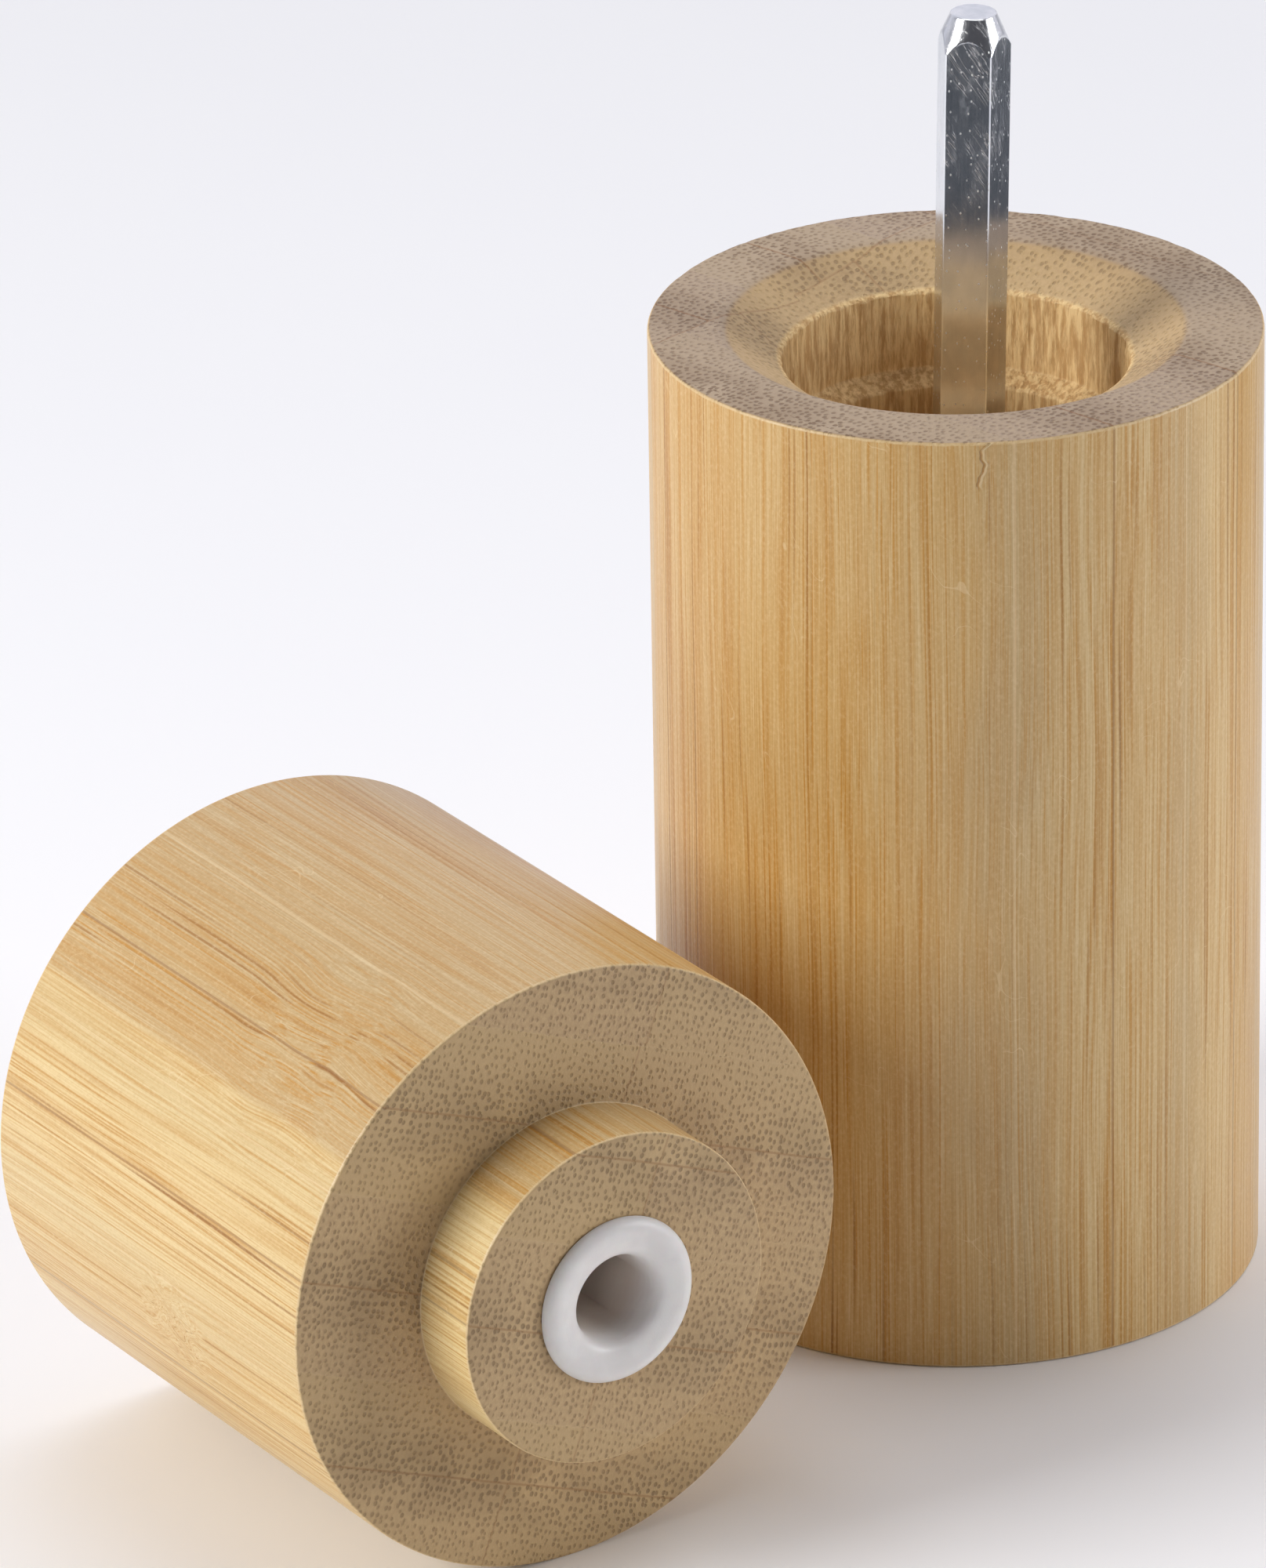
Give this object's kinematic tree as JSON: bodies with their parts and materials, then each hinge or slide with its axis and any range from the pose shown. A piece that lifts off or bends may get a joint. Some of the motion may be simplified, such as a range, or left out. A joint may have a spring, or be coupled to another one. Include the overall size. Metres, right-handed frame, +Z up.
{
  "type": "bamboo spice mill",
  "caption": "Tall round bamboo spice mill with its head pulled off and lying beside it, a five-sided drive shaft standing in the barrel and a ceramic grinder in the base.",
  "frame": {"origin": "centre of the barrel's base ring, on the surface that the mill stands on", "axes": "+Z up along the barrel's axis; +Y away from the viewer; +X to the viewer's right"},
  "size_m": [0.107, 0.0991, 0.1134],
  "materials": {
    "bamboo_body": "satin varnish over laminated bamboo",
    "bamboo_head": "satin varnish over laminated bamboo",
    "bright_aluminium": "bright drawn bar",
    "white_plastic": "satin moulded",
    "grey_plastic": "moulded, fine texture",
    "dial_plastic": "moulded, fine texture",
    "ceramic": "fired, unglazed",
    "brass": "turned",
    "plated_steel": "zinc plated",
    "spring_steel": "bright spring steel",
    "black_rubber": "smooth"
  },
  "bodies": {
    "mill_body": {"barrel": "bamboo_body", "grinder_housing": "grey_plastic", "housing_screws": "plated_steel", "outer_burr": "ceramic", "burr_retainer": "grey_plastic", "bearing_bridge": "grey_plastic", "bearing_sleeve": "brass"},
    "adjuster": {"adjuster_dial": "dial_plastic", "dial_clip": "spring_steel"},
    "lifter": {"thrust_stud": "brass", "thrust_ball": "spring_steel", "spring_washer": "spring_steel", "preload_spring": "spring_steel"},
    "rotor": {"rotor_hub": "grey_plastic", "inner_burr": "ceramic", "feeder": "dial_plastic", "socket_snap_ring": "spring_steel"},
    "shaft": {"drive_shaft": "bright_aluminium"},
    "head": {"knob": "bamboo_head", "drive_bush": "white_plastic", "grip_ring": "black_rubber"}
  },
  "joints": [
    {"name": "adjuster_turn", "type": "hinge", "parent": "mill_body", "child": "adjuster", "pos_m": [0, 0, 0.0037], "axis": [0, 0, -1], "range_deg": [0, 290]},
    {"name": "burr_gap", "type": "slide", "parent": "mill_body", "child": "lifter", "axis": [0, 0, 1], "range_m": [0, 0.0008], "deforming": ["preload_spring"]},
    {"name": "shaft_spin", "type": "hinge", "parent": "lifter", "child": "rotor", "pos_m": [0, 0, 0.021], "axis": [0, 0, 1], "continuous": true},
    {"name": "shaft_rock", "type": "hinge", "parent": "rotor", "child": "shaft", "pos_m": [0, 0, 0.021], "axis": [0, -1, 0], "range_deg": [0, 1.96]},
    {"name": "head_stand_up", "type": "hinge", "parent": "mill_body", "child": "head", "pos_m": [-0.05914, -0.02021, 0], "axis": [-0.8331, -0.5531, 0], "range_deg": [0, 90]}
  ],
  "couplings": [
    {"joint": "adjuster_turn", "follows": "burr_gap", "rad_per_m": 6283.2}
  ]
}
